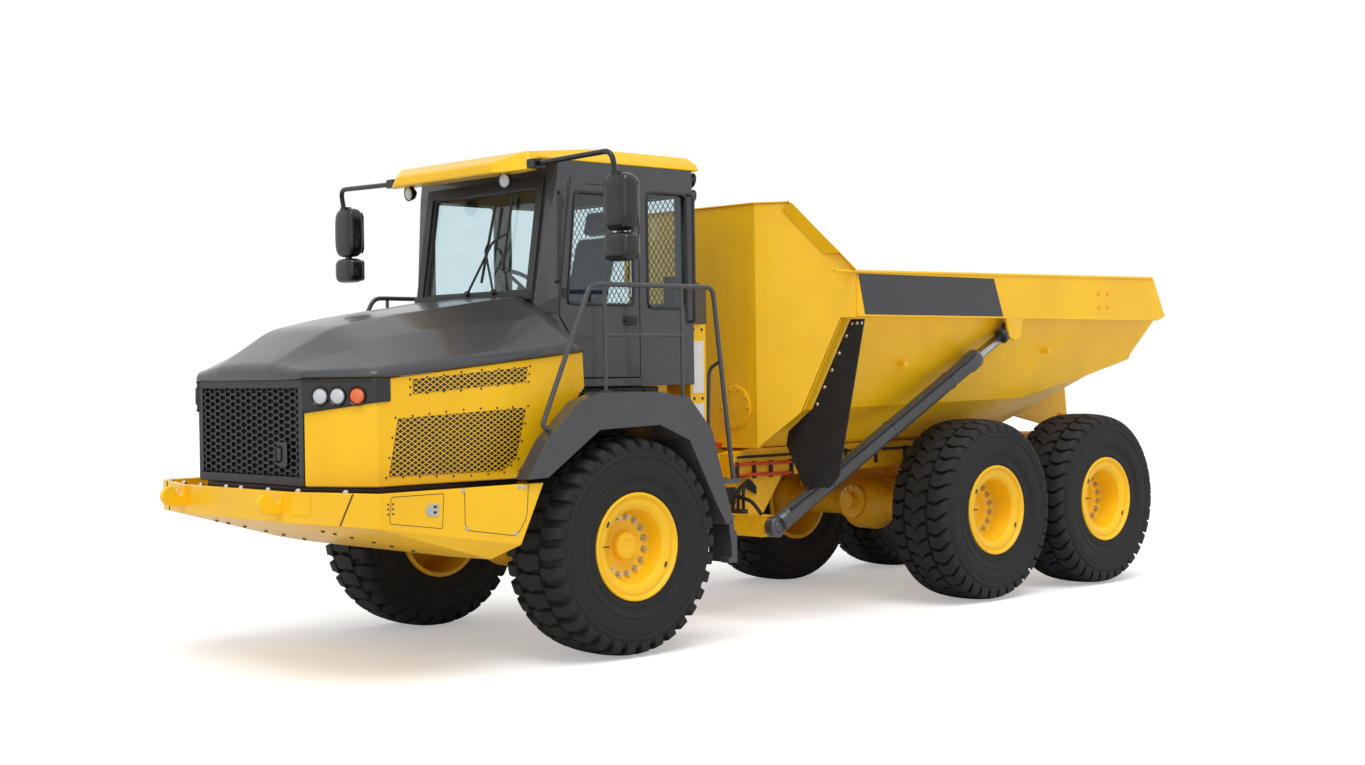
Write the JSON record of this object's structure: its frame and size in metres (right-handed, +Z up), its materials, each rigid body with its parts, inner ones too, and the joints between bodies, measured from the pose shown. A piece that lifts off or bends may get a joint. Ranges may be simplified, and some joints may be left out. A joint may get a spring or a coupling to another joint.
{
  "type": "articulated dump truck",
  "caption": "Articulated dump truck with a low nose, a tall cab, a pivot behind the cab and a tipping bin between two hoist cylinders.",
  "frame": {"origin": "on the ground, under the middle of the truck's bounding box", "axes": "+X forward, +Y to the truck's left, +Z up"},
  "size_m": [9.608, 3.64, 3.7],
  "materials": {
    "yellow_paint": "smooth gloss paint, lightly dusty",
    "grey_paint": "satin dark grey paint",
    "dark_iron": "painted casting",
    "black_plastic": "fine grained black plastic",
    "seat_fabric": "woven grey cloth",
    "clear_glass": "clear, slightly blue",
    "flap_rubber": "matte black sheet",
    "chrome_rod": "polished hard chrome",
    "tyre_rubber": "new black rubber"
  },
  "bodies": {
    "tractor": {"front_frame": "yellow_paint", "front_axle": "yellow_paint", "engine_block": "dark_iron", "bumper": "yellow_paint", "fender_left": "grey_paint", "fender_right": "grey_paint", "handrail_left": "grey_paint", "handrail_right": "grey_paint", "cab_shell": "grey_paint", "cab_roof": "yellow_paint", "windscreen": "clear_glass", "seat_base": "black_plastic", "seat_cushion": "seat_fabric", "seat_back": "seat_fabric", "dashboard": "black_plastic", "mirror_left": "black_plastic", "mirror_right": "black_plastic", "service_tower": "yellow_paint"},
    "hood": {"hood_top": "grey_paint", "hood_side_left": "yellow_paint", "hood_side_right": "yellow_paint", "grille": "grey_paint"},
    "cab_door": {"cab_door": "grey_paint", "door_glass": "clear_glass"},
    "hitch": {"hitch_yoke": "yellow_paint"},
    "rear_frame": {"rear_frame": "yellow_paint", "mid_axle": "yellow_paint", "rear_axle": "yellow_paint", "walking_beams": "yellow_paint"},
    "bin": {"bin_floor": "yellow_paint", "bin_side_left": "yellow_paint", "bin_side_right": "yellow_paint", "bin_front_wall": "yellow_paint", "bin_flap_left": "flap_rubber", "bin_flap_right": "flap_rubber"},
    "hoist_barrel_left": {"hoist_barrel_left": "grey_paint"},
    "hoist_barrel_right": {"hoist_barrel_right": "grey_paint"},
    "hoist_rod_left": {"hoist_rod_left": "chrome_rod"},
    "hoist_rod_right": {"hoist_rod_right": "chrome_rod"},
    "steer_barrel_left": {"steer_barrel_left": "grey_paint"},
    "steer_barrel_right": {"steer_barrel_right": "grey_paint"},
    "steer_rod_left": {"steer_rod_left": "chrome_rod"},
    "steer_rod_right": {"steer_rod_right": "chrome_rod"},
    "wheel_front_left": {"tyre_front_left": "tyre_rubber", "rim_front_left": "yellow_paint"},
    "wheel_front_right": {"tyre_front_right": "tyre_rubber", "rim_front_right": "yellow_paint"},
    "wheel_mid_left": {"tyre_mid_left": "tyre_rubber", "rim_mid_left": "yellow_paint"},
    "wheel_mid_right": {"tyre_mid_right": "tyre_rubber", "rim_mid_right": "yellow_paint"},
    "wheel_rear_left": {"tyre_rear_left": "tyre_rubber", "rim_rear_left": "yellow_paint"},
    "wheel_rear_right": {"tyre_rear_right": "tyre_rubber", "rim_rear_right": "yellow_paint"}
  },
  "joints": [
    {"name": "hood_hinge", "type": "hinge", "parent": "tractor", "child": "hood", "pos_m": [4.476, 0, 1.31], "axis": [0, 1, 0], "range_deg": [0, 60]},
    {"name": "door_hinge", "type": "hinge", "parent": "tractor", "child": "cab_door", "pos_m": [2.416, 0.862, 2.7], "axis": [0, 0, -1], "range_deg": [0, 33]},
    {"name": "wheel_front_left", "type": "hinge", "parent": "tractor", "child": "wheel_front_left", "pos_m": [2.226, 1.18, 0.79117], "axis": [0, 1, 0], "continuous": true},
    {"name": "wheel_front_right", "type": "hinge", "parent": "tractor", "child": "wheel_front_right", "pos_m": [2.226, -1.18, 0.79117], "axis": [0, 1, 0], "continuous": true},
    {"name": "articulation", "type": "hinge", "parent": "tractor", "child": "hitch", "pos_m": [0.864, 0, 0.97], "axis": [0, 0, 1], "range_deg": [-45, 45]},
    {"name": "oscillation", "type": "hinge", "parent": "hitch", "child": "rear_frame", "pos_m": [0.536, 0, 0.97], "axis": [1, 0, 0], "range_deg": [-15, 15]},
    {"name": "wheel_mid_left", "type": "hinge", "parent": "rear_frame", "child": "wheel_mid_left", "pos_m": [-1.964, 1.18, 0.79117], "axis": [0, 1, 0], "continuous": true},
    {"name": "wheel_mid_right", "type": "hinge", "parent": "rear_frame", "child": "wheel_mid_right", "pos_m": [-1.964, -1.18, 0.79117], "axis": [0, 1, 0], "continuous": true},
    {"name": "wheel_rear_left", "type": "hinge", "parent": "rear_frame", "child": "wheel_rear_left", "pos_m": [-3.634, 1.18, 0.79117], "axis": [0, 1, 0], "continuous": true},
    {"name": "wheel_rear_right", "type": "hinge", "parent": "rear_frame", "child": "wheel_rear_right", "pos_m": [-3.634, -1.18, 0.79117], "axis": [0, 1, 0], "continuous": true},
    {"name": "bin_tip", "type": "hinge", "parent": "rear_frame", "child": "bin", "pos_m": [-4.194, 0, 1.52], "axis": [0, -1, 0], "range_deg": [0, 70]},
    {"name": "hoist_swing_left", "type": "hinge", "parent": "rear_frame", "child": "hoist_barrel_left", "pos_m": [0.381, 1.04, 0.785], "axis": [0.5009, 0.0994, 0.8598], "range_deg": [-1, 2.97]},
    {"name": "hoist_slide_left", "type": "slide", "parent": "hoist_barrel_left", "child": "hoist_rod_left", "axis": [-0.8652, 0.0817, 0.4947], "range_m": [-0.01, 2.305]},
    {"name": "steer_swing_left", "type": "hinge", "parent": "tractor", "child": "steer_barrel_left", "pos_m": [2.026, 0.56, 0.97], "axis": [0, 0, 1], "range_deg": [-5, 5]},
    {"name": "steer_slide_left", "type": "slide", "parent": "steer_barrel_left", "child": "steer_rod_left", "axis": [-0.995, -0.0995, 0], "range_m": [-0.3273, 0.3273]},
    {"name": "hoist_swing_right", "type": "hinge", "parent": "rear_frame", "child": "hoist_barrel_right", "pos_m": [0.381, -1.04, 0.785], "axis": [-0.5009, 0.0994, -0.8598], "range_deg": [-1, 2.97]},
    {"name": "hoist_slide_right", "type": "slide", "parent": "hoist_barrel_right", "child": "hoist_rod_right", "axis": [-0.8652, -0.0817, 0.4947], "range_m": [-0.01, 2.305]},
    {"name": "steer_swing_right", "type": "hinge", "parent": "tractor", "child": "steer_barrel_right", "pos_m": [2.026, -0.56, 0.97], "axis": [0, 0, 1], "range_deg": [-5, 5]},
    {"name": "steer_slide_right", "type": "slide", "parent": "steer_barrel_right", "child": "steer_rod_right", "axis": [-0.995, 0.0995, 0], "range_m": [-0.3273, 0.3273]}
  ],
  "couplings": [
    {"joint": "hoist_swing_left", "follows": "bin_tip", "ratio": 0.028196},
    {"joint": "hoist_slide_left", "follows": "bin_tip", "m_per_rad": 1.8784},
    {"joint": "steer_swing_left", "follows": "articulation", "ratio": 0.036995},
    {"joint": "steer_slide_left", "follows": "articulation", "m_per_rad": 0.40396},
    {"joint": "hoist_swing_right", "follows": "bin_tip", "ratio": 0.028196},
    {"joint": "hoist_slide_right", "follows": "bin_tip", "m_per_rad": 1.8784},
    {"joint": "steer_swing_right", "follows": "articulation", "ratio": 0.036995},
    {"joint": "steer_slide_right", "follows": "articulation", "m_per_rad": -0.40396}
  ]
}
